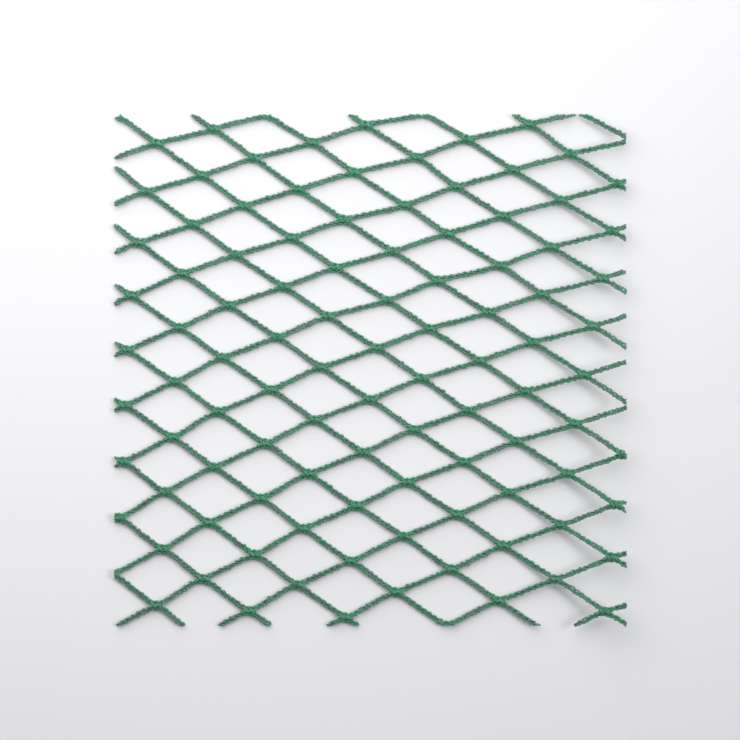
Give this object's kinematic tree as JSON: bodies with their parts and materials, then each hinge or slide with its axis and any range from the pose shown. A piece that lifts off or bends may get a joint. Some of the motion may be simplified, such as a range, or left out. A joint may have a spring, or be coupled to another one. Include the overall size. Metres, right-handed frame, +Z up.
{
  "type": "cut length of lift fishing net",
  "caption": "Square cut length of knotless diamond-mesh lift net, zigzag green twines knitted together side by side at raised junctions, lying flat with one side a little off the surface.",
  "frame": {"origin": "middle of the square cut length, on the surface it lies on", "axes": "+Z up, +X along the runs of twine towards the side that is off the surface, +Y across the runs towards the far side"},
  "size_m": [0.09, 0.09, 0.0055],
  "materials": {
    "netting": "matt green knitted twine"
  },
  "bodies": {
    "root": {"net": "netting"}
  },
  "joints": []
}
